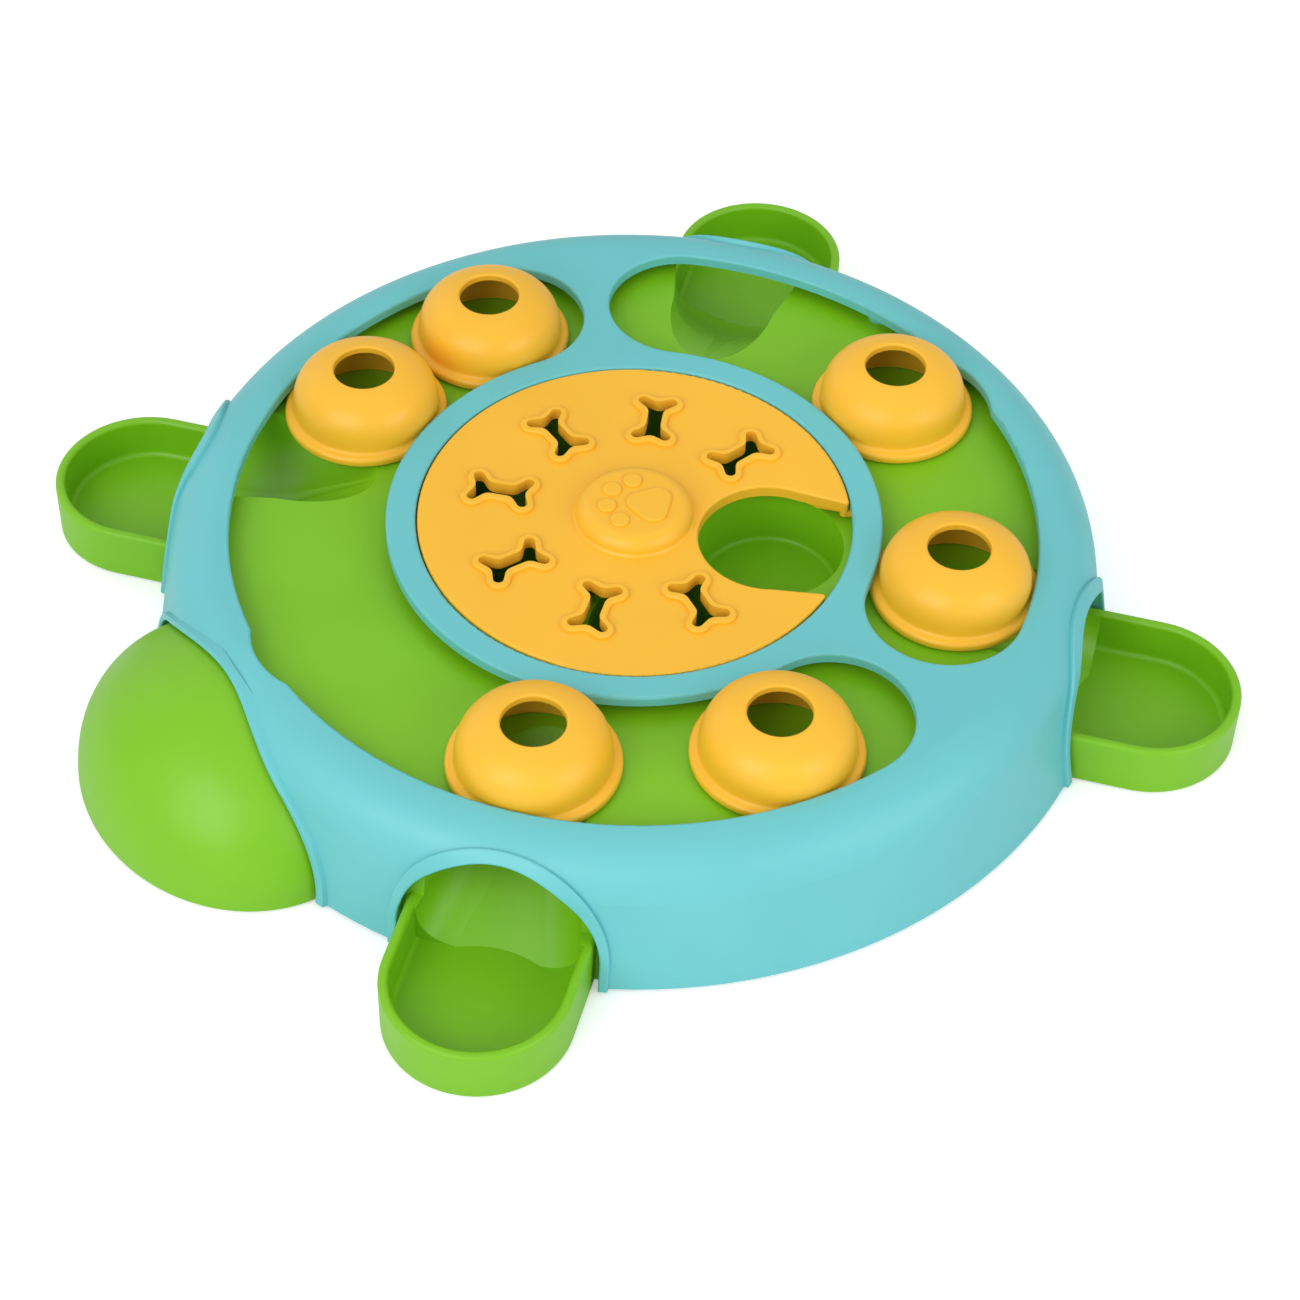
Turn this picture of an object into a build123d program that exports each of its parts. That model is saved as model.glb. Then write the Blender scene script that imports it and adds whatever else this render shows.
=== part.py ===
from build123d import *
import os
from math import asin, cos, degrees, hypot, pi, radians, sin, sqrt, tan

# A dog puzzle feeder in the shape of a turtle. The head points along -Y. Millimetres.
# The pieces are drawn about the vertical axis of the round shell, and saved set back by
# SET_BACK, so that the origin is on the table below the middle of the toy's length.
# Floor, hub, cups, legs and head are one moulding on the toy, and so are the shell and the
# ring round the disc. Here they are separate solids that meet face to face.

# ---- shell: a low round cover, open below ----
SHELL_R = 133.6          # radius at the rim
SHELL_RIM_Z = 1.4        # the rim hangs just above the table
SHELL_TAPER = 9.5        # degrees, draft of the side wall
SHELL_ROUND = 14.0       # radius between side wall and top
SHELL_T = 2.6            # side wall
PLATE_T = 3.2            # top plate
EDGE_ROUND = 0.8         # rounding of the slot edges
RING_W = 8.25            # top plate between the centre disc and the two curved slots
RIM_W = 21.9             # from the slots out to the rim's radius
HEAD_SLOT_HALF = 95.8    # degrees from the slot's middle to the centre of its round end
BRIDGE_W = 8.06          # top plate between the ends of the two slots
NOTCH_CLEAR = 0.6        # the notch that lets a slider's flange in, past the flange itself
BOSS_R = 3.6             # screw bosses under the plate
PILOT_R = 1.45
PILOT_SPARE = 0.4        # pilot hole past the screw's tip

# ---- arches in the side wall ----
LIP_W = 2.5              # raised lip round each arch
LIP_H = 1.5
LIP_ROUND = 0.5
LIP_SLOPE = 45.0         # degrees; a leg arch's lip is swept up this slope, square to the shoulder
LIP_RISE = 5.9           # seen along that slope its top is that much higher than a round one
LEG_ARCH_GAP = 2.0       # between a tray's side and its arch
LEG_ARCH_SPRING_Z = 9.5  # height where the round top starts
HEAD_ARCH_GAP = 1.4      # between the head's side and its arch
HEAD_ARCH_RISE = 0.8     # arch above the top of the head
HEAD_LIP_RISE = 1.2      # the lip thins out towards the top of the head arch
WALL_DEPTH = 13.0        # the arches are cut from this far inside the rim outwards

# ---- base: floor, cups, legs and head ----
FLOOR_Z = 34.3
FLOOR_T = 2.4
TRACK_H = 3.9            # space between floor and top plate, for the slider flanges
BASE_INSET = 10.6        # from the rim's radius in to the floor's edge
BASE_LIP_T = 2.0
BASE_LIP_DROP = 8.0
SHELL_CLEAR = 0.8        # base to the inside of the shell
LEG_ANGLE = 45.0         # the legs stand at this angle to the line from head to tail
TRAY_REACH = 13.5        # from the rim's radius out to the centre of the tray's round end
TRAY_R = 25.2
TRAY_T = 2.8
TRAY_RIM_Z = 16.7
TRAY_FLOOR_Z = 3.6
TRAY_FLOOR_T = 2.8
TRAY_TAIL = 15.6         # the trays begin this far inside the rim's radius
WELL_TAIL = 3.9          # and their hollow this far
TRAY_ROUND = 1.2         # rim
WELL_ROUND = 1.5         # floor
CHUTE_INSET = 6.9        # from the slots' inner edge to the chute's inner end
CHUTE_STRAIGHT = 24.4    # length from there to where the chute widens
RAMP_TAIL = 3.6          # the ramp meets the tray floor this far inside the rim's radius
RAMP_RUN_OUT = 1.2       # its surface is drawn on past that line
CHUTE_TIP_HALF = 13.8    # half widths at those places
CHUTE_NECK_HALF = 15.2
CHUTE_FOOT_STEP = 0.1    # the chute's mouth is that much narrower than the tray's hollow, each side
CHUTE_CORNER = 13.0      # radius between the ramp and the side walls, at its top
CHUTE_FOOT_CORNER = 9.8  # and at its foot
CHUTE_SAG = 1.7          # the ramp is hollow across its foot
CHUTE_TIP_SAG = 0.1
CHUTE_LAP = 0.5          # the chute's hollow laps into the tray's
CHUTE_T = 2.4
LEG_NECK_LAP = 1.5       # the wall round a chute's mouth laps behind the arch
CUP_COUNT = 5
CUP_C = 38.1             # distance of the cups' centres from the axis
CUP_R = 20.3
CUP_DEPTH = 17.1
CUP_TAPER = 2.0
CUP_T = 2.3
CUP_ROUND = 1.4
CUP_EDGE = 0.6
DECK_MARGIN = 1.2        # floor round the cups, outside their walls
HEAD_SET = 9.6           # from the rim's radius in to the head's centre
HEAD_LONG = 40.9         # half axes of the half egg
HEAD_WIDE = 49.8
HEAD_TOP_Z = 39.0
HEAD_BOTTOM_Z = 1.0
HEAD_T = 2.6
NECK_GAP = 0.6
NECK_T = 2.6

# ---- centre disc ----
DISC_R = 60.0
DISC_GAP = 0.45          # to the ring
DISC_T = 2.6
DISC_LIFT = 1.5          # skirt above the floor
DISC_SKIRT_T = 2.2
DISC_FLANGE_W = 3.7
DISC_FLANGE_T = 1.6
DISC_ROUND = 0.8
DISC_TURN = 48.1         # degrees, where the cut-out points at rest
CUT_INSET = 0.5          # the cut-out is that much smaller than a cup
CUT_MOUTH_HALF = 17.4
CUT_DEPTH = 3.7          # of its wall
CUT_ROUND = 0.9
BONE_COUNT = 7
BONE_STEP = 43.1         # degrees
BONE_LOBE_X = 7.15
BONE_LOBE_Y = 4.1
BONE_LOBE_R = 1.5
BONE_WAIST = 2.1         # half width of the shank
BONE_FORK = 4.6          # from the bone's middle to where the lobes part
BONE_ROUND = 3.0         # inner corners
BONE_RIM_W = 1.8
BONE_RIM_ROUND = 0.7
BONE_RIM_H = 1.2
KNOB_R = 16.4
KNOB_H = 4.7
KNOB_ROUND = 4.3
KNOB_FOOT = 0.6
KNOB_T = 2.6
PAW_H = 0.85
PAW_SINK = 0.5           # the relief starts this far under the knob's top
PAW_ROUND = 0.65
TOE_R = 2.7
TOES = ((-7.1, 3.3), (-2.4, 8.0))     # two toes, mirrored for the other two
PAD_TIP_X = 1.5          # the pad: one corner to the toes, two at the heel
PAD_TIP_R = 3.9
PAD_HEEL_X = 5.8
PAD_HEEL_Y = 2.8
PAD_HEEL_R = 4.0

# ---- disc pivot ----
HUB_R = 9.0
HUB_RISE = 1.3           # the thrust face stands this far above the floor
HUB_DROP = 4.3
PIVOT_R = 5.0
COLLAR_R = 8.0
PIVOT_CLEAR = 0.1
PIVOT_END_PLAY = 0.4
WASHER_R = 7.5
WASHER_HOLE_R = 1.7
WASHER_T = 1.0

# ---- sliders ----
SLIDER_LAP = 1.7         # flange under the slot's edge
SLIDER_GAP = 0.7         # dome to the slot's edge
SLIDER_HEADROOM = 0.5    # flange to the top plate
SLIDER_FLANGE_ROUND = 1.3
SLIDER_TOP = 18.1        # virtual tip of the dome above the flange's underside
SLIDER_POWER = 2.85      # fullness of the dome's curve
SLIDER_HOLE_R = 8.6
SLIDER_T = 2.2
SLIDER_FOOT = 1.2
SLIDER_EDGE = 0.7
SLIDER_LIFT = 0.2        # running gap over the floor
SLIDER_APART = 0.9       # between the flanges of the first two, which stand together
SLIDER_STARTS = (4.25, 56.5, 8.0, -52.1, -10.9)     # degrees from the ends of the slots

# ---- screws and pads ----
SCREW_R = 1.4
SCREW_L = 7.4
PIVOT_SCREW_L = 8.0
SCREW_TIP = 1.5
SCREW_POINT_R = 0.5
SCREW_HEAD_R = 2.8
SCREW_HEAD_H = 2.0
SCREW_HEAD_ROUND = 1.0
SCREW_HOLE_R = 1.7
DRIVE_R = 1.5
DRIVE_W = 0.8
DRIVE_DEPTH = 1.1
RIM_SCREW_INSET = 5.2    # from the floor's edge
RIM_SCREW_ANGLES = (0.0, 68.0, 112.0, 180.0, 242.0, 298.0)
BRIDGE_SCREW_INSET = 3.7 # from the slots' inner edge
PAD_R = 8.0
PAD_T = 1.6
PAD_PROUD = 0.8
PAD_CLEAR = 0.1
PAD_ROUND = 0.4

# ---- worked out from the sizes above ----
PROUD = 1.0              # overrun of cutting solids past a face
FAR = 400.0
SAME = 0.01              # heights and radii this close are the same
RING_IN_R = DISC_R + DISC_GAP
SLOT_IN_R = RING_IN_R + RING_W
SLOT_OUT_R = SHELL_R - RIM_W
SLOT_MID_R = (SLOT_IN_R + SLOT_OUT_R) / 2
SLOT_HALF_W = (SLOT_OUT_R - SLOT_IN_R) / 2
SLOT_END_ANGLE = degrees(asin(SLOT_HALF_W / SLOT_MID_R))
TAIL_SLOT_HALF = 180 - HEAD_SLOT_HALF - 2 * SLOT_END_ANGLE - degrees(BRIDGE_W / SLOT_MID_R)
DECK_R = CUP_C + CUP_R + CUP_T + DECK_MARGIN
PLATE_Z = FLOOR_Z + TRACK_H
TOP_Z = PLATE_Z + PLATE_T
FLOOR_LOW_Z = FLOOR_Z - FLOOR_T
BASE_R = SHELL_R - BASE_INSET
WALL_IN_R = SHELL_R - WALL_DEPTH
NECK_R = WALL_IN_R + NECK_GAP
LEG_ARCH_HALF = TRAY_R + LEG_ARCH_GAP
HEAD_ARCH_HALF = HEAD_WIDE + HEAD_ARCH_GAP
HEAD_ARCH_TOP_Z = HEAD_TOP_Z + HEAD_ARCH_RISE
ARCH_WALL_R = SHELL_R - (LEG_ARCH_SPRING_Z - SHELL_RIM_Z) * tan(radians(SHELL_TAPER))
ARCH_FOOT_R = sqrt(ARCH_WALL_R ** 2 - LEG_ARCH_HALF ** 2)
LEG_ANGLES = (-90 + LEG_ANGLE, -90 - LEG_ANGLE, 90 - LEG_ANGLE, 90 + LEG_ANGLE)
TRAY_C = SHELL_R + TRAY_REACH
TRAY_START = SHELL_R - TRAY_TAIL
WELL_START = SHELL_R - WELL_TAIL
TRAY_BOTTOM_Z = TRAY_FLOOR_Z - TRAY_FLOOR_T
CHUTE_TIP = SLOT_IN_R + CHUTE_INSET
CHUTE_NECK = CHUTE_TIP + CHUTE_STRAIGHT
RAMP_FOOT = SHELL_R - RAMP_TAIL
RAMP_TAN = (FLOOR_Z - TRAY_FLOOR_Z) / (RAMP_FOOT - CHUTE_TIP)
CHUTE_FOOT_HALF = TRAY_R - TRAY_T - CHUTE_FOOT_STEP
HEAD_C = SHELL_R - HEAD_SET
CUT_R = CUP_R - CUT_INSET
MOUTH_ANGLE = degrees(asin((CUT_MOUTH_HALF + CUT_ROUND) / DISC_R))
DISC_Z = FLOOR_Z + DISC_LIFT
DISC_DEPTH = TOP_Z - DISC_Z
HUB_TOP_Z = FLOOR_Z + HUB_RISE
HUB_LOW_Z = FLOOR_Z - HUB_DROP
PIVOT_LOW_Z = HUB_LOW_Z - PIVOT_END_PLAY
SLIDER_Z = FLOOR_Z + SLIDER_LIFT
SLIDER_FLANGE_R = SLOT_HALF_W + SLIDER_LAP
SLIDER_FLANGE_T = TRACK_H - SLIDER_LIFT - SLIDER_HEADROOM
SLIDER_R = SLOT_HALF_W - SLIDER_GAP
SLIDER_PITCH = 2 * degrees(asin((SLIDER_FLANGE_R + SLIDER_APART / 2) / SLOT_MID_R))
RIM_SCREW_R = BASE_R - RIM_SCREW_INSET
BRIDGE_SCREW_R = SLOT_IN_R + BRIDGE_SCREW_INSET
BRIDGE_ANGLE = ((HEAD_SLOT_HALF - 90) + (90 - TAIL_SLOT_HALF)) / 2
PILOT_DEPTH = SCREW_L - FLOOR_T + PILOT_SPARE
SET_BACK = (HEAD_C + HEAD_LONG - SHELL_R) / 2


def turned(shape, angle):
    return shape.rotate(Axis.Z, angle)


def polar(radius, angle):
    return radius * cos(radians(angle)), radius * sin(radians(angle))


def revolved(outline):
    """Turns an outline, drawn as radius and height, about the vertical axis."""
    return revolve(Plane.XZ * outline, Axis.Z)


def tube(outer_r, inner_r, low, high):
    ring = Circle(outer_r) - Circle(inner_r)
    return Pos(0, 0, low) * extrude(ring, high - low)


def shell_outline(inset, plate_inset, round_r):
    """Half section of the shell's envelope, drawn in from the outer faces."""
    slope = tan(radians(SHELL_TAPER))
    low = SHELL_RIM_Z - (PROUD if inset > 0 else 0)
    high = TOP_Z - plate_inset
    side = inset / cos(radians(SHELL_TAPER))
    foot = SHELL_R - side - (low - SHELL_RIM_Z) * slope
    head = SHELL_R - side - (high - SHELL_RIM_Z) * slope
    outline = Polygon((0, low), (foot, low), (head, high), (0, high), align=None)
    corner = outline.vertices().sort_by(Axis.Y)[-2:].sort_by(Axis.X)[-1]
    return fillet(corner, round_r)


def slot_face(half_angle, middle):
    """Curved slot with round ends, centred on the direction `middle`."""
    band = Circle(SLOT_OUT_R) - Circle(SLOT_IN_R)
    steps = 6
    fan = [(0, 0)]
    for i in range(steps + 1):
        angle = middle - half_angle + 2 * half_angle * i / steps
        fan.append(polar(FAR, angle))
    face = band & Polygon(*fan, align=None)
    for side in (-half_angle, half_angle):
        x, y = polar(SLOT_MID_R, middle + side)
        face += Pos(x, y) * Circle(SLOT_HALF_W)
    return face


def leg_arch(grow, rise):
    """Outline of a leg arch, in a plane across the leg."""
    half = LEG_ARCH_HALF + grow
    post = Pos(0, LEG_ARCH_SPRING_Z / 2 - FAR / 2) * Rectangle(2 * half, LEG_ARCH_SPRING_Z + FAR)
    return post + Pos(0, LEG_ARCH_SPRING_Z) * Ellipse(half, half + rise)


def head_arch(grow, rise):
    half = HEAD_ARCH_HALF + grow
    post = Pos(0, -FAR / 2) * Rectangle(2 * half, FAR)
    return post + Ellipse(half, HEAD_ARCH_TOP_Z + rise)


def outward(face, angle):
    """Sweeps an arch outline out through the side wall in the direction `angle`."""
    prism = extrude(Plane.XZ * face, FAR)
    return turned(prism, angle + 90) - Cylinder(WALL_IN_R, FAR)


def envelope(inset, plate_inset, round_r):
    return revolved(shell_outline(inset, plate_inset, round_r))


def leg_lip(angle):
    """The space of the lip round a leg arch, swept through the wall and up the slope."""
    slope = radians(LIP_SLOPE)
    outline = Pos(0, -ARCH_FOOT_R, 0) * (Plane.XZ * leg_arch(LIP_W, LIP_RISE))
    return turned(extrude(outline, FAR, dir=(0, -cos(slope), sin(slope)), both=True), angle + 90)


def whole_shell():
    outer = envelope(0, 0, SHELL_ROUND)
    hollow = envelope(SHELL_T, PLATE_T, SHELL_ROUND - SHELL_T)
    lips = []
    openings = []
    for angle in LEG_ANGLES:
        lips.append(leg_lip(angle))
        openings.append(outward(leg_arch(0, 0), angle))
    lips.append(outward(head_arch(LIP_W, HEAD_LIP_RISE), -90))
    openings.append(outward(head_arch(0, 0), -90))
    grown = envelope(-LIP_H, -LIP_H, SHELL_ROUND + LIP_H)
    shell = outer
    for lip in lips:
        shell += grown & lip
    shell -= hollow
    for opening in openings:
        shell -= opening
    for middle, half in ((-90, HEAD_SLOT_HALF), (90, TAIL_SLOT_HALF)):
        face = slot_face(half, middle) + notch_face(middle)
        shell -= Pos(0, 0, PLATE_Z - PROUD) * extrude(face, PLATE_T + 2 * PROUD)
    shell -= Pos(0, 0, PLATE_Z - PROUD) * extrude(Circle(RING_IN_R), PLATE_T + 2 * PROUD)
    rims = [e for e in shell.edges() if flat_at(e, TOP_Z) and reach(e) < RIM_SCREW_R - BOSS_R]
    shell = fillet(rims, EDGE_ROUND)
    shell = fillet(proud_edges(shell, outer), LIP_ROUND)
    for x, y in screw_places():
        boss = Pos(x, y, FLOOR_Z) * extrude(Circle(BOSS_R), TRACK_H)
        pilot = Pos(x, y, FLOOR_Z) * extrude(Circle(PILOT_R), PILOT_DEPTH)
        shell = shell + boss - pilot
    return shell


def top_shell(whole):
    """The wall, the outer band of the top plate, and the bridges' outer halves."""
    return whole - Cylinder(SLOT_MID_R, FAR)


def top_ring(whole):
    """The ring round the disc, and the bridges' inner halves."""
    return whole & Cylinder(SLOT_MID_R, FAR)


def proud_edges(shell, outer):
    """Edges of the lips' outer faces, which stand proud of the shell's own envelope."""
    proud = []
    for edge in shell.edges():
        middle = edge.position_at(0.5)
        if reach(edge) > WALL_IN_R and not outer.is_inside(middle):
            if Vertex(*middle).distance_to(outer) > LIP_H - LIP_ROUND:
                proud.append(edge)
    return proud


def reach(edge):
    """Distance of the edge's middle from the vertical axis."""
    middle = edge.position_at(0.5)
    return hypot(middle.X, middle.Y)


def flat_at(edge, height):
    box = edge.bounding_box()
    return abs(box.min.Z - height) < SAME and abs(box.max.Z - height) < SAME


def notch_face(middle):
    """Bite in the slot's outer edge that lets a slider's flange in."""
    x, y = polar(SLOT_MID_R, middle)
    bite = Pos(x, y) * Circle(SLIDER_FLANGE_R + NOTCH_CLEAR)
    return bite - Circle(SLOT_MID_R)


def slider_angles():
    """Where the domes stand: two, then two in the tail slot, then two at the other end."""
    first, third, fourth, fifth, sixth = SLIDER_STARTS
    start = -90 - HEAD_SLOT_HALF
    end = -90 + HEAD_SLOT_HALF
    tail = 90 - TAIL_SLOT_HALF
    return [start + first, start + first + SLIDER_PITCH, tail + third, tail + fourth,
            end + fifth, end + sixth]


def screw_places():
    places = [polar(RIM_SCREW_R, angle) for angle in RIM_SCREW_ANGLES]
    places += [polar(BRIDGE_SCREW_R, angle) for angle in (BRIDGE_ANGLE, 180 - BRIDGE_ANGLE)]
    return places


def chute_section(along, half, corner_r, grow, sag):
    """Closed outline across the chute: side walls, corner arcs and a hollow bottom."""
    bottom = FLOOR_Z - (along - CHUTE_TIP) * RAMP_TAN - grow
    top = FLOOR_Z + 2 * CHUTE_CORNER + CHUTE_T
    side = half + grow
    corner = corner_r + grow
    flat = side - corner
    high = bottom + corner
    diag = corner * cos(pi / 4)
    edges = [
        Line((-side, top), (-side, high)),
        ThreePointArc((-side, high), (-flat - diag, high - diag), (-flat, bottom)),
        ThreePointArc((-flat, bottom), (0, bottom - sag), (flat, bottom)),
        ThreePointArc((flat, bottom), (flat + diag, high - diag), (side, high)),
        Line((side, high), (side, top)),
        Line((side, top), (-side, top)),
    ]
    across = Plane(origin=(along, 0, 0), x_dir=(0, 1, 0), z_dir=(1, 0, 0))
    return across * make_face(Wire(edges))


def chute(grow):
    """The space of one chute along +X, or with `grow` that space and its walls."""
    stations = (
        (CHUTE_TIP - grow / RAMP_TAN, CHUTE_TIP_HALF, CHUTE_CORNER, CHUTE_TIP_SAG),
        (CHUTE_NECK, CHUTE_NECK_HALF, CHUTE_CORNER, (CHUTE_TIP_SAG + CHUTE_SAG) / 2),
        (RAMP_FOOT + RAMP_RUN_OUT, CHUTE_FOOT_HALF, CHUTE_FOOT_CORNER, CHUTE_SAG),
    )
    sections = [chute_section(x, half, corner, grow, sag) for x, half, corner, sag in stations]
    return loft(sections, ruled=True)


def tray_outline(radius, start):
    """Outline of a tray along +X: round outside, and straight across at its start."""
    sides = Pos((start + TRAY_C) / 2, 0) * Rectangle(TRAY_C - start, 2 * radius)
    return (sides + Pos(TRAY_C, 0) * Circle(radius)) & Pos(start + FAR / 2, 0) * Rectangle(FAR, FAR)


def tray_well():
    """The hollow of a tray along +X, with a rounded corner round its floor."""
    hollow = extrude(tray_outline(TRAY_R - TRAY_T, WELL_START), FAR)
    low = [e for e in hollow.edges() if flat_at(e, 0) and outside_arch(e)]
    return Pos(0, 0, TRAY_FLOOR_Z) * fillet(low, WELL_ROUND)


def tray():
    """Stadium-shaped tray along +X with a rounded rim, closed under the shell."""
    height = TRAY_RIM_Z - TRAY_BOTTOM_Z
    walls = Pos(0, 0, TRAY_BOTTOM_Z) * extrude(tray_outline(TRAY_R, TRAY_START), height)
    walls -= tray_well()
    rim = [e for e in walls.edges() if flat_at(e, TRAY_RIM_Z) and outside_arch(e)]
    return fillet(rim, TRAY_ROUND)


def outside_arch(edge):
    return edge.position_at(0.5).X > WELL_START + PROUD


def leg():
    """One leg along +X: chute, wall round the chute's mouth, and tray, below the floor."""
    sheath = chute(CHUTE_T) & slab(TRAY_BOTTOM_Z, FLOOR_LOW_Z)
    neck = slab(TRAY_BOTTOM_Z, FLOOR_LOW_Z) - inner_room(NECK_T)
    neck &= Pos(FAR / 2, 0, 0) * Box(FAR, 2 * (LEG_ARCH_HALF + LEG_NECK_LAP), FAR)
    body = tray() + ((sheath + neck) & inner_room(0)) - tray_well() - floor_blank()
    recess = Pos(TRAY_C, 0, TRAY_BOTTOM_Z - PROUD) * extrude(Circle(PAD_R), PROUD + PAD_T - PAD_PROUD)
    return body - chute_space() - recess


def chute_space():
    """The hollow of one chute along +X, down to the tray floor, as far as the tray's hollow."""
    ahead = Pos((WELL_START + CHUTE_LAP) / 2, 0, TRAY_FLOOR_Z + FAR / 2) * Box(
        WELL_START + CHUTE_LAP, FAR, FAR)
    return chute(0) & ahead


def slab(low, high):
    return Pos(0, 0, low) * extrude(Rectangle(FAR, FAR), high - low)


def inner_room(wall):
    """The space inside the shell, less the clearance and the thickness of a wall."""
    side = SHELL_T + SHELL_CLEAR + wall
    return envelope(side, PLATE_T + SHELL_CLEAR, SHELL_ROUND - side)


def egg(inset):
    """The head's full ellipsoid, drawn in from its outer face."""
    halves = (HEAD_WIDE - inset, HEAD_LONG - inset, HEAD_TOP_Z - inset)
    return Pos(0, -HEAD_C, 0) * scale(Sphere(1), by=halves)


def head():
    """Half-egg head, open below, with a wall that closes it inside the arch."""
    outside = slab(HEAD_BOTTOM_Z, FAR) - Cylinder(NECK_R, FAR)
    hollow = egg(HEAD_T) - Cylinder(NECK_R + NECK_T, FAR)
    return (egg(0) & outside) - hollow - floor_blank()


def cup_angles():
    return [90 + 360 / CUP_COUNT * (i + 0.5) for i in range(CUP_COUNT)]


def cup_space():
    """One round cup under the floor level, centred on the axis."""
    foot_r = CUP_R - CUP_DEPTH * tan(radians(CUP_TAPER))
    cup = Pos(0, 0, -CUP_DEPTH / 2) * Cone(foot_r, CUP_R, CUP_DEPTH)
    cup = fillet(cup.edges().sort_by(Axis.Z)[0], CUP_ROUND)
    lead_in = Cone(CUP_R - PROUD, CUP_R + PROUD, 2 * PROUD)
    return Pos(0, 0, FLOOR_Z) * (cup + Pos(0, 0, PROUD - CUP_EDGE) * lead_in)


def cup(angle):
    """One cup and the deck round it, parted from its neighbours halfway."""
    x, y = polar(CUP_C, angle)
    low = FLOOR_Z - CUP_DEPTH - CUP_T
    wall = Pos(x, y, low) * extrude(Circle(CUP_R + CUP_T), FLOOR_Z - low)
    deck = Pos(0, 0, FLOOR_LOW_Z) * extrude(Circle(DECK_R), FLOOR_T)
    half = 180 / CUP_COUNT
    wedge = Polygon((0, 0), polar(FAR, angle - half), polar(FAR, angle + half), align=None)
    return ((wall + deck) & extrude(wedge, FAR)) - Pos(x, y) * cup_space() - Cylinder(HUB_R, FAR)


def hub():
    """The bearing in the middle of the deck, for the disc's pivot."""
    return tube(HUB_R, PIVOT_R + PIVOT_CLEAR, HUB_LOW_Z, HUB_TOP_Z)


def floor_blank():
    """The round floor and its edge, before anything is cut out of it."""
    plate = Pos(0, 0, FLOOR_LOW_Z) * extrude(Circle(BASE_R), FLOOR_T)
    return plate + tube(BASE_R, BASE_R - BASE_LIP_T, FLOOR_Z - BASE_LIP_DROP, FLOOR_Z)


def track_floor():
    """The ring-shaped floor that the sliders run on, with the mouths of the chutes."""
    body = floor_blank() - Cylinder(DECK_R, FAR)
    for angle in LEG_ANGLES:
        body -= turned(chute_space(), angle)
    for x, y in screw_places():
        body -= Pos(x, y, FLOOR_LOW_Z - PROUD) * extrude(Circle(SCREW_HOLE_R), FAR)
    return body


def pad_places():
    return [polar(TRAY_C, angle) for angle in LEG_ANGLES]


def bone(grow):
    """Bone outline, long way along X."""
    face = Rectangle(2 * BONE_FORK, 2 * BONE_WAIST)
    for end in (-1, 1):
        fork = Pos(end * BONE_FORK, 0) * Circle(BONE_WAIST)
        for side in (-1, 1):
            lobe = Pos(end * BONE_LOBE_X, side * BONE_LOBE_Y) * Circle(BONE_LOBE_R)
            face += hull_of(fork, lobe)
    return offset(offset(face, grow + BONE_ROUND), -BONE_ROUND)


def hull_of(*faces):
    """The face that a tight string round all the given ones would enclose."""
    edges = ShapeList()
    for face in faces:
        edges += face.edges()
    return make_face(make_hull(edges))


def disc_outline():
    """The disc seen from above, with its cut-out along +X."""
    cut = Pos(CUP_C, 0) * Circle(CUT_R)
    mouth = Polygon((CUP_C, CUT_R), (CUP_C, -CUT_R), (DISC_R + PROUD, -CUT_MOUTH_HALF),
                    (DISC_R + PROUD, CUT_MOUTH_HALF), align=None)
    face = Circle(DISC_R) - cut - mouth
    corners = [v for v in face.vertices() if v.X > CUP_C + CUT_R / 2]
    return fillet(corners, CUT_ROUND)


def pad_of_paw():
    heels = [Pos(PAD_HEEL_X, side * PAD_HEEL_Y) * Circle(PAD_HEEL_R) for side in (-1, 1)]
    return hull_of(Pos(PAD_TIP_X, 0) * Circle(PAD_TIP_R), *heels)


def cut_relief():
    """Space under the rim of the cut-out, where the skirt is shorter than elsewhere."""
    height = TOP_Z - CUT_DEPTH - DISC_Z
    around = Pos(CUP_C, 0) * Circle(CUT_R + DISC_SKIRT_T)
    room = around + Polygon((CUP_C, CUT_R), (CUP_C, -CUT_R), (DISC_R, -CUT_MOUTH_HALF - DISC_SKIRT_T),
                            (DISC_R, CUT_MOUTH_HALF + DISC_SKIRT_T), align=None)
    inside = Circle(DISC_R - DISC_SKIRT_T)
    return Pos(0, 0, DISC_Z - PROUD) * extrude(room & inside, height + PROUD)


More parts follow.
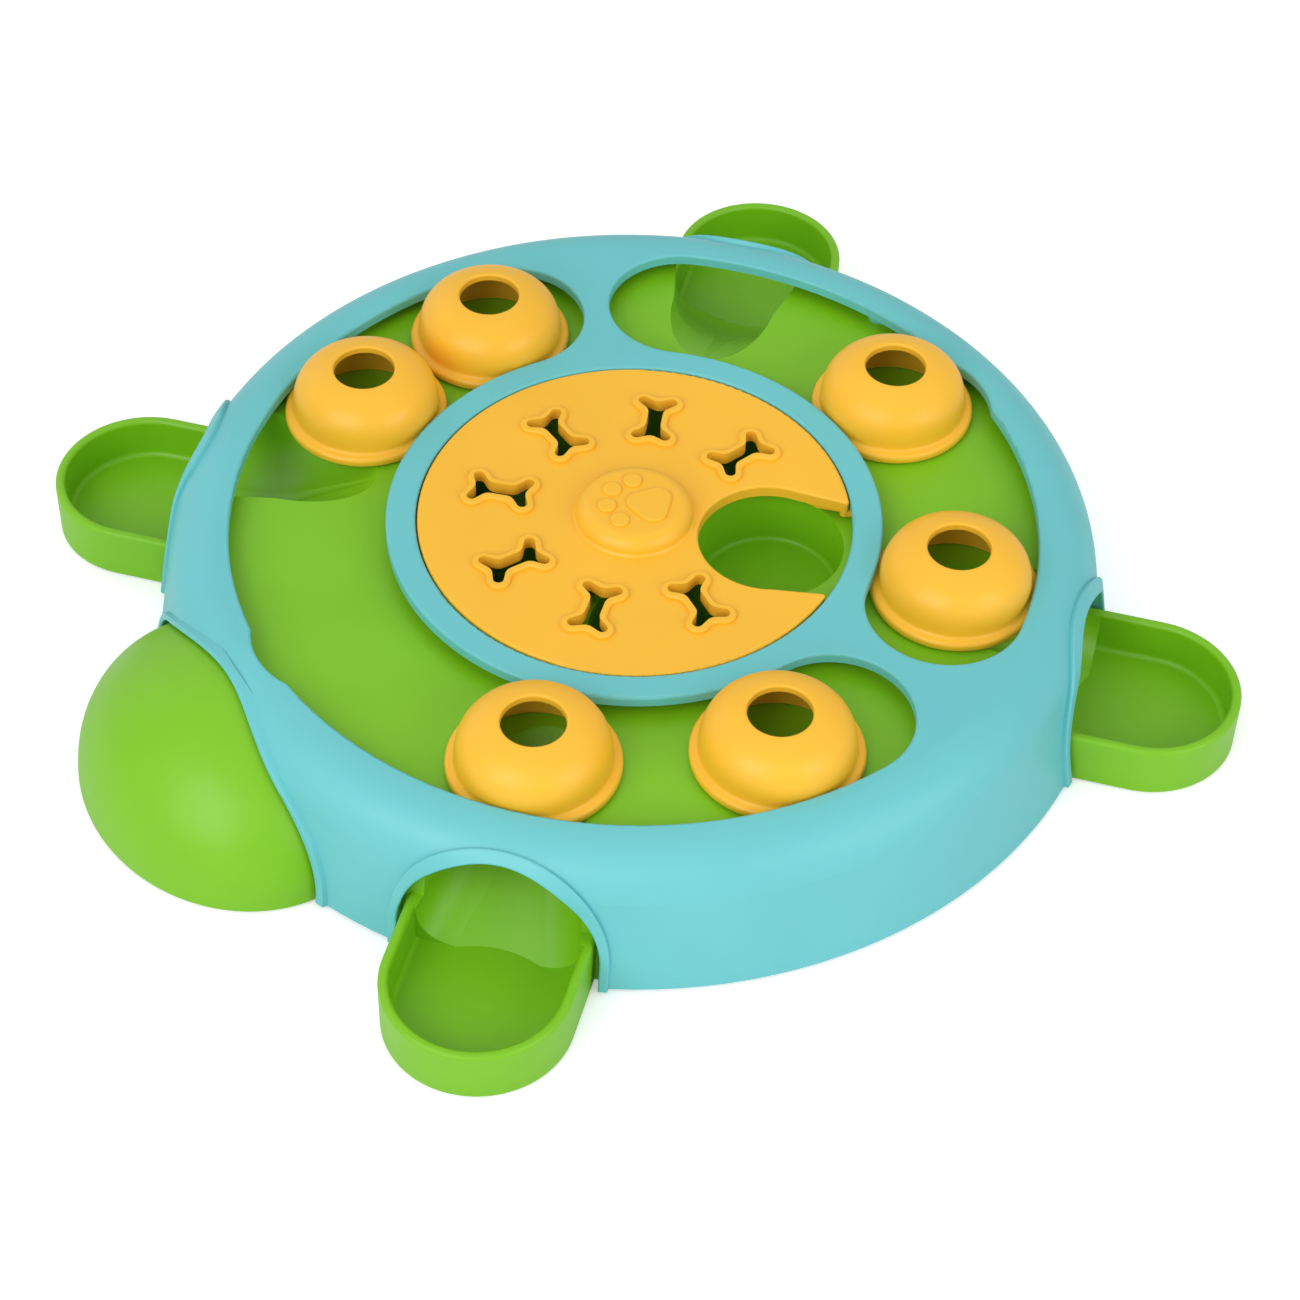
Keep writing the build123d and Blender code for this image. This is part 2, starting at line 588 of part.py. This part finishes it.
def centre_disc():
    face = disc_outline()
    disc = Pos(0, 0, DISC_Z) * extrude(face, DISC_DEPTH)
    disc = fillet([e for e in disc.edges() if flat_at(e, TOP_Z)], DISC_ROUND)
    disc -= Pos(0, 0, DISC_Z - PROUD) * extrude(offset(face, -DISC_SKIRT_T), DISC_DEPTH - DISC_T + PROUD)
    disc -= cut_relief()
    arms = Circle(DISC_R + DISC_FLANGE_W) - Circle(DISC_R - DISC_SKIRT_T / 2)
    arms -= Polygon((0, 0), polar(FAR, MOUTH_ANGLE), polar(FAR, -MOUTH_ANGLE), align=None)
    disc += Pos(0, 0, DISC_Z) * extrude(arms, DISC_FLANGE_T)
    for i in range(BONE_COUNT):
        place = Rot(0, 0, 180 + BONE_STEP * (i - (BONE_COUNT - 1) / 2)) * Pos(CUP_C, 0, 0)
        rim = Pos(0, 0, TOP_Z - DISC_T) * extrude(bone(BONE_RIM_W), DISC_T + BONE_RIM_H)
        rim = fillet([e for e in rim.edges() if flat_at(e, TOP_Z + BONE_RIM_H)], BONE_RIM_ROUND)
        disc += place * rim
        disc -= place * Pos(0, 0, DISC_Z) * extrude(bone(0), DISC_DEPTH + BONE_RIM_H + PROUD)
    disc += knob()
    collar = Pos(0, 0, HUB_TOP_Z) * extrude(Circle(COLLAR_R), TOP_Z + KNOB_H - KNOB_T / 2 - HUB_TOP_Z)
    pivot = Pos(0, 0, PIVOT_LOW_Z) * extrude(Circle(PIVOT_R), TOP_Z - PIVOT_LOW_Z)
    disc = disc - knob_hollow() + collar + pivot
    disc -= Pos(0, 0, PIVOT_LOW_Z) * extrude(Circle(PILOT_R), PIVOT_SCREW_L - WASHER_T + PIVOT_CLEAR)
    return turned(disc, DISC_TURN)


def knob():
    """Raised knob with rounded edge and the paw relief on it."""
    outline = Polygon((0, TOP_Z - DISC_T / 2), (KNOB_R, TOP_Z - DISC_T / 2), (KNOB_R, TOP_Z + KNOB_H),
                      (0, TOP_Z + KNOB_H), align=None)
    corner = outline.vertices().sort_by(Axis.X)[-2:].sort_by(Axis.Y)[-1]
    body = revolved(fillet(corner, KNOB_ROUND))
    foot = Polygon((KNOB_R - KNOB_FOOT, TOP_Z), (KNOB_R + KNOB_FOOT, TOP_Z),
                   (KNOB_R - KNOB_FOOT, TOP_Z + 2 * KNOB_FOOT), align=None)
    low = TOP_Z + KNOB_H - PAW_SINK
    paw = [extrude(pad_of_paw(), PAW_H + PAW_SINK)]
    for x, y in TOES:
        for side in (-1, 1):
            paw.append(Pos(x, side * y) * extrude(Circle(TOE_R), PAW_H + PAW_SINK))
    for piece in paw:
        top = piece.faces().sort_by(Axis.Z)[-1]
        body += Pos(0, 0, low) * fillet(top.edges(), PAW_ROUND)
    return body + revolved(foot)


def knob_hollow():
    """Space under the knob, between the disc's thin plate and the knob's wall."""
    low = DISC_Z
    high = TOP_Z + KNOB_H - KNOB_T
    outline = Polygon((0, low), (KNOB_R - KNOB_T, low), (KNOB_R - KNOB_T, high), (0, high), align=None)
    corner = outline.vertices().sort_by(Axis.X)[-2:].sort_by(Axis.Y)[-1]
    return revolved(fillet(corner, KNOB_ROUND - KNOB_T / 2))


def slider_profile(radius, low, high, steps):
    """Points of the dome's outline from its foot up to the round hole."""
    points = []
    top = (1 - (SLIDER_HOLE_R / radius) ** SLIDER_POWER) ** (1 / SLIDER_POWER)
    for i in range(steps + 1):
        turn = asin(top ** (SLIDER_POWER / 2)) * i / steps
        r = radius * cos(turn) ** (2 / SLIDER_POWER)
        z = low + (high - low) * sin(turn) ** (2 / SLIDER_POWER)
        points.append((r, z))
    return points


def slider():
    """One hollow dome, with its flange's underside at height zero."""
    steps = 8
    outer = slider_profile(SLIDER_R, SLIDER_FLANGE_T, SLIDER_TOP, steps)
    inner = slider_profile(SLIDER_R - SLIDER_T, SLIDER_FLANGE_T, SLIDER_TOP - SLIDER_T, steps)
    outline = [
        Line((SLIDER_R - SLIDER_T, 0), (SLIDER_FLANGE_R, 0)),
        Line((SLIDER_FLANGE_R, 0), (SLIDER_FLANGE_R, SLIDER_FLANGE_T)),
        Line((SLIDER_FLANGE_R, SLIDER_FLANGE_T), outer[0]),
        Spline(outer, tangents=[(0, 1), (outer[-1][0] - outer[-2][0], outer[-1][1] - outer[-2][1])]),
        Line(outer[-1], inner[-1]),
        Spline(inner[::-1], tangents=[(inner[-2][0] - inner[-1][0], inner[-2][1] - inner[-1][1]), (0, -1)]),
        Line(inner[0], (SLIDER_R - SLIDER_T, 0)),
    ]
    dome = revolved(make_face(Wire(outline)))
    dome = fillet(ring_edges(dome, SLIDER_FLANGE_R), SLIDER_FLANGE_ROUND)
    dome = fillet(ring_edges(dome, SLIDER_R), SLIDER_FOOT)
    return fillet(ring_edges(dome, SLIDER_HOLE_R)[-1:], SLIDER_EDGE)


def ring_edges(solid, radius):
    """Full circles of that radius about the vertical axis, lowest first."""
    rings = solid.edges().filter_by(GeomType.CIRCLE).filter_by(lambda e: abs(e.radius - radius) < SAME)
    return rings.sort_by(Axis.Z)


def screw(x, y, top, length):
    """Self-tapping screw pointing up, the top of its head at height `top`."""
    shank = extrude(Circle(SCREW_R), length - SCREW_TIP)
    tip = Pos(0, 0, length - SCREW_TIP / 2) * Cone(SCREW_R, SCREW_POINT_R, SCREW_TIP)
    cap = Pos(0, 0, -SCREW_HEAD_H) * extrude(Circle(SCREW_HEAD_R), SCREW_HEAD_H)
    cap = fillet(cap.edges().sort_by(Axis.Z)[0], SCREW_HEAD_ROUND)
    cross = Rectangle(2 * DRIVE_R, DRIVE_W) + Rectangle(DRIVE_W, 2 * DRIVE_R)
    drive = Pos(0, 0, -SCREW_HEAD_H) * extrude(cross, DRIVE_DEPTH)
    return Pos(x, y, top) * (shank + tip + cap - drive)


def washer():
    ring = extrude(Circle(WASHER_R) - Circle(WASHER_HOLE_R), WASHER_T)
    return Pos(0, 0, PIVOT_LOW_Z - WASHER_T) * ring


def foot_pad():
    pad = extrude(Circle(PAD_R - PAD_CLEAR), PAD_T)
    return fillet(pad.edges().sort_by(Axis.Z)[0], PAD_ROUND)


def save(name, drawn):
    """Writes one piece, moved from the shell's axis to the part's own origin."""
    shape = Pos(0, SET_BACK, 0) * drawn
    export_step(shape, f"parts/{name}.step")
    print(name, "solids", len(shape.solids()), "valid", shape.is_valid)


os.makedirs("parts", exist_ok=True)
whole = whole_shell()
save("top_shell", top_shell(whole))
save("top_ring", top_ring(whole))
save("track_floor", track_floor())
save("hub", hub())
for number, angle in enumerate(cup_angles(), 1):
    save(f"cup_{number}", cup(angle))
for number, angle in enumerate(LEG_ANGLES, 1):
    save(f"leg_{number}", turned(leg(), angle))
save("head", head())
save("centre_disc", centre_disc())
for number, angle in enumerate(slider_angles(), 1):
    x, y = polar(SLOT_MID_R, angle)
    save(f"slider_{number}", Pos(x, y, SLIDER_Z) * slider())
screws = [screw(x, y, FLOOR_LOW_Z, SCREW_L) for x, y in screw_places()]
rim_count = len(RIM_SCREW_ANGLES)
save("rim_screws", Compound(screws[:rim_count]))
save("bridge_screws", Compound(screws[rim_count:]))
save("pivot_screw", screw(0, 0, PIVOT_LOW_Z - WASHER_T, PIVOT_SCREW_L))
save("pivot_washer", washer())
for number, (x, y) in enumerate(pad_places(), 1):
    save(f"foot_pad_{number}", Pos(x, y, 0) * foot_pad())
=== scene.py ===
from math import radians

import bpy
from mathutils import Matrix, Vector


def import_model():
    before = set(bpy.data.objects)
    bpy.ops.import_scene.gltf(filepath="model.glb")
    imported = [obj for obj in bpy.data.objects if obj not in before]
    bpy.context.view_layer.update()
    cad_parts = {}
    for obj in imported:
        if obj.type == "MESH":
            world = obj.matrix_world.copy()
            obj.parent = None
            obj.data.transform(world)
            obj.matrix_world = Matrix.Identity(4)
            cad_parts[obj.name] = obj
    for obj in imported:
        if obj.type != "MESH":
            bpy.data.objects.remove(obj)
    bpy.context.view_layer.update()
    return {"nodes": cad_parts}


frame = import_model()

nodes = frame["nodes"]

# ---- camera: a long lens looking down over the turtle's right shoulder ----
MM = 0.001
CAMERA_FROM = (553.7, -309.55, 672.6)
CAMERA_TO = (45.8, -5.55, 40.3)
CAMERA_ROLL = 1.6           # degrees
CAMERA_LENS = 90.18
SENSOR_W = 36.0
NEAR, FAR = 0.01, 20.0      # metres

# ---- surface colours, written as sRGB ----
BLUE = (104, 193, 197)
GREEN = (121, 189, 20)
YELLOW = (246, 187, 48)
RUBBER = (48, 50, 52)
RUBBER_DUST = (92, 94, 94)
ZINC_DARK = (176, 178, 180)
ZINC_LIGHT = (214, 214, 210)
WHITE = (1, 1, 1, 1)
SWEEP_DARK = (0.88, 0.88, 0.88, 1)
SWEEP_LIGHT = (0.9, 0.9, 0.9, 1)

# ---- materials: noise scales per metre, bump heights in metres ----
PLASTIC_SPECULAR = 0.42
TINT = 0.04                 # share by which the plastic's colour wanders
CLOUD_SCALE = 14            # slow flow shading
FLECK_SCALE = 900
FLECK_FROM, FLECK_TO = 0.62, 0.78
FLECK_SHARE = 0.10
RUBBED_SCALE = 38           # patches rubbed smooth
RUBBED_SPREAD = 0.05        # roughness either side of the plastic's own
GRAIN_SCALE = 2400          # eroded mould grain
GRAIN_SPREAD = 0.03
GRAIN_H = 0.000012
WAVE_SCALE = 60             # faint sink and flow waves
WAVE_H = 0.00006

DUST_SCALE = 300
DUST_SHARE = 0.35
RUBBER_PATCH_SCALE = 120
RUBBER_ROUGH = (0.7, 0.9)
RUBBER_GRAIN_SCALE = 1800
RUBBER_GRAIN_H = 0.00005

ZINC_CLOUD_SCALE = 500
ZINC_STREAK_SCALE = 900
ZINC_STREAK = (1, 1, 0.2)   # drawn out along the screw
ZINC_ROUGH = (0.25, 0.45)
ZINC_GRAIN_SCALE = 2500
ZINC_GRAIN_H = 0.00002

# ---- light: name, place and side in metres, power in watts ----
LAMPS = (
    ("left_box", (0.5, -1.15, 0.95), 1.1, 11.4),
    ("right_box", (1.35, 0.55, 0.8), 0.9, 7.0),
    ("back_box", (-1.25, -0.35, 0.7), 1.1, 1.6),
    ("top_box", (-0.25, 0.25, 1.6), 1.4, 2.0),
)
LAMPS_AIM = (0, 0, 0.03)
AMBIENT = 0.60              # white surroundings as the object sees them
SWEEP_HALF = 6.0
SWEEP_SCALE = 6
SWEEP_ROUGH = 0.8
SWEEP_SPECULAR = 0.1
SWEEP_GLOW = 0.35           # lifts the floor to white in the camera's own view

MIX_INPUTS = (0, 6, 7)      # factor, A and B of a colour ShaderNodeMix
MIX_RESULT = 2


def srgb(colour):
    """Linear RGBA of an sRGB colour given as 0 to 255, by the standard sRGB curve."""
    out = []
    for part in colour:
        c = part / 255
        out.append(c / 12.92 if c <= 0.04045 else ((c + 0.055) / 1.055) ** 2.4)
    return (*out, 1.0)


class Graph:
    """A node material, built node by node."""

    def __init__(self, name):
        self.material = bpy.data.materials.new(name)
        self.material.use_nodes = True
        self.nodes = self.material.node_tree.nodes
        self.links = self.material.node_tree.links
        self.shader = self.nodes["Principled BSDF"]
        self.place = self.add("ShaderNodeTexCoord").outputs["Object"]

    def add(self, kind, **settings):
        node = self.nodes.new(kind)
        for key, value in settings.items():
            setattr(node, key, value)
        return node

    def drive(self, socket, source):
        """Links `source` to one of the shader's inputs."""
        self.links.new(source, self.shader.inputs[socket])

    def fix(self, socket, value):
        """Gives one of the shader's inputs a constant."""
        self.shader.inputs[socket].default_value = value

    def noise(self, scale, detail=2.0, distortion=0.0, stretch=None):
        node = self.add("ShaderNodeTexNoise")
        node.inputs["Scale"].default_value = scale
        node.inputs["Detail"].default_value = detail
        node.inputs["Distortion"].default_value = distortion
        source = self.place
        if stretch:
            mapping = self.add("ShaderNodeMapping")
            mapping.inputs["Scale"].default_value = stretch
            self.links.new(source, mapping.inputs["Vector"])
            source = mapping.outputs["Vector"]
        self.links.new(source, node.inputs["Vector"])
        return node.outputs["Fac"]

    def span(self, value, low=0.0, high=1.0, start=0.3, end=0.7):
        """Maps `start` to `end` onto `low` to `high`. The defaults spread a noise's middle."""
        node = self.add("ShaderNodeMapRange")
        limits = (("From Min", start), ("From Max", end), ("To Min", low), ("To Max", high))
        for socket, number in limits:
            node.inputs[socket].default_value = number
        self.links.new(value, node.inputs["Value"])
        return node.outputs["Result"]

    def mix(self, factor, first, second):
        node = self.add("ShaderNodeMix", data_type="RGBA")
        for index, value in zip(MIX_INPUTS, (factor, first, second)):
            if isinstance(value, tuple):
                node.inputs[index].default_value = value
            else:
                self.links.new(value, node.inputs[index])
        return node.outputs[MIX_RESULT]

    def bump(self, height, distance, normal=None):
        node = self.add("ShaderNodeBump")
        node.inputs["Strength"].default_value = 1.0
        node.inputs["Distance"].default_value = distance
        self.links.new(height, node.inputs["Height"])
        if normal is not None:
            self.links.new(normal, node.inputs["Normal"])
        return node.outputs["Normal"]


def moulded_plastic(name, colour, roughness):
    """Satin moulded plastic: fine eroded grain, faint flow shading and rubbed patches."""
    g = Graph(name)
    base = srgb(colour)
    darker = tuple(c * (1 - TINT) for c in base[:3]) + (1.0,)
    lighter = tuple(min(1.0, c * (1 + TINT)) for c in base[:3]) + (1.0,)
    cloud = g.span(g.noise(CLOUD_SCALE, detail=3.0, distortion=0.6))
    fleck = g.span(g.noise(FLECK_SCALE, detail=1.0), start=FLECK_FROM, end=FLECK_TO)
    flecked = g.span(fleck, high=FLECK_SHARE, start=0.0, end=1.0)
    g.drive("Base Color", g.mix(flecked, g.mix(cloud, darker, lighter), lighter))
    rubbed = g.noise(RUBBED_SCALE, detail=4.0, distortion=0.4)
    grain = g.noise(GRAIN_SCALE)
    rough = g.add("ShaderNodeMath", operation="ADD")
    patches = g.span(rubbed, roughness - RUBBED_SPREAD, roughness + RUBBED_SPREAD)
    g.links.new(patches, rough.inputs[0])
    g.links.new(g.span(grain, -GRAIN_SPREAD, GRAIN_SPREAD), rough.inputs[1])
    g.drive("Roughness", rough.outputs[0])
    waves = g.bump(g.noise(WAVE_SCALE), WAVE_H)
    g.drive("Normal", g.bump(grain, GRAIN_H, waves))
    g.fix("Specular IOR Level", PLASTIC_SPECULAR)
    return g.material


def soft_rubber():
    """Dusty black rubber."""
    g = Graph("soft_rubber")
    dust = g.span(g.noise(DUST_SCALE, detail=4.0), high=DUST_SHARE)
    g.drive("Base Color", g.mix(dust, srgb(RUBBER), srgb(RUBBER_DUST)))
    g.drive("Roughness", g.span(g.noise(RUBBER_PATCH_SCALE, detail=3.0), *RUBBER_ROUGH))
    g.drive("Normal", g.bump(g.noise(RUBBER_GRAIN_SCALE, detail=3.0), RUBBER_GRAIN_H))
    return g.material


def zinc_steel():
    """Zinc plated steel with a cloudy passivated skin."""
    g = Graph("zinc_steel")
    g.fix("Metallic", 1.0)
    cloud = g.span(g.noise(ZINC_CLOUD_SCALE, detail=3.0))
    g.drive("Base Color", g.mix(cloud, srgb(ZINC_DARK), srgb(ZINC_LIGHT)))
    streaks = g.noise(ZINC_STREAK_SCALE, detail=3.0, stretch=ZINC_STREAK)
    g.drive("Roughness", g.span(streaks, *ZINC_ROUGH))
    g.drive("Normal", g.bump(g.noise(ZINC_GRAIN_SCALE), ZINC_GRAIN_H))
    return g.material


def numbered(stem, count):
    return [f"{stem}_{i}" for i in range(1, count + 1)]


def dress(names, material):
    for name in names:
        mesh = nodes[name].data
        mesh.materials.clear()
        mesh.materials.append(material)


def link(item):
    bpy.context.scene.collection.objects.link(item)


def lights():
    """Square soft boxes, all aimed at the toy."""
    for name, place, side, power in LAMPS:
        lamp = bpy.data.lights.new(name, "AREA")
        lamp.shape = "RECTANGLE"
        lamp.size = side
        lamp.size_y = side
        lamp.energy = power
        item = bpy.data.objects.new(name, lamp)
        item.location = place
        aim = Vector(LAMPS_AIM) - Vector(place)
        item.rotation_euler = aim.to_track_quat("-Z", "Y").to_euler()
        link(item)


def world():
    """Even white surroundings; the camera sees plain white."""
    sky = bpy.data.worlds.new("studio")
    sky.use_nodes = True
    tree = sky.node_tree
    back = tree.nodes["Background"]
    back.inputs["Color"].default_value = WHITE
    path = tree.nodes.new("ShaderNodeLightPath")
    level = tree.nodes.new("ShaderNodeMapRange")
    level.inputs["To Min"].default_value = AMBIENT
    level.inputs["To Max"].default_value = 1.0
    tree.links.new(path.outputs["Is Camera Ray"], level.inputs["Value"])
    tree.links.new(level.outputs["Result"], back.inputs["Strength"])
    bpy.context.scene.world = sky


def floor():
    """Pale sweep under the toy, which keeps its shadow."""
    mesh = bpy.data.meshes.new("floor")
    signs = ((-1, -1), (1, -1), (1, 1), (-1, 1))
    mesh.from_pydata([(x * SWEEP_HALF, y * SWEEP_HALF, 0) for x, y in signs], [], [(0, 1, 2, 3)])
    item = bpy.data.objects.new("floor", mesh)
    link(item)
    g = Graph("white_sweep")
    g.fix("Roughness", SWEEP_ROUGH)
    g.fix("Specular IOR Level", SWEEP_SPECULAR)
    g.drive("Base Color", g.mix(g.span(g.noise(SWEEP_SCALE)), SWEEP_DARK, SWEEP_LIGHT))
    seen = g.add("ShaderNodeLightPath").outputs["Is Camera Ray"]
    g.fix("Emission Color", WHITE)
    g.drive("Emission Strength", g.span(seen, high=SWEEP_GLOW, start=0.0, end=1.0))
    mesh.materials.append(g.material)


def camera():
    lens = bpy.data.cameras.new("view")
    lens.lens = CAMERA_LENS
    lens.sensor_width = SENSOR_W
    lens.sensor_fit = "AUTO"
    lens.clip_start = NEAR
    lens.clip_end = FAR
    item = bpy.data.objects.new("view", lens)
    place = Vector(CAMERA_FROM) * MM
    aim = (Vector(CAMERA_TO) * MM - place).to_track_quat("-Z", "Y")
    roll = Matrix.Rotation(radians(CAMERA_ROLL), 4, "Z")
    item.matrix_world = Matrix.Translation(place) @ aim.to_matrix().to_4x4() @ roll
    link(item)
    bpy.context.scene.camera = item


blue = moulded_plastic("blue_plastic", BLUE, roughness=0.42)
green = moulded_plastic("green_plastic", GREEN, roughness=0.41)
yellow = moulded_plastic("yellow_plastic", YELLOW, roughness=0.40)
dress(["top_shell", "top_ring"], blue)
dress(["track_floor", "hub", "head"] + numbered("cup", 5) + numbered("leg", 4), green)
dress(["centre_disc"] + numbered("slider", 6), yellow)
dress(numbered("foot_pad", 4), soft_rubber())
dress(["rim_screws", "bridge_screws", "pivot_screw", "pivot_washer"], zinc_steel())

bpy.context.scene.view_settings.view_transform = "Standard"
world()
lights()
floor()
camera()
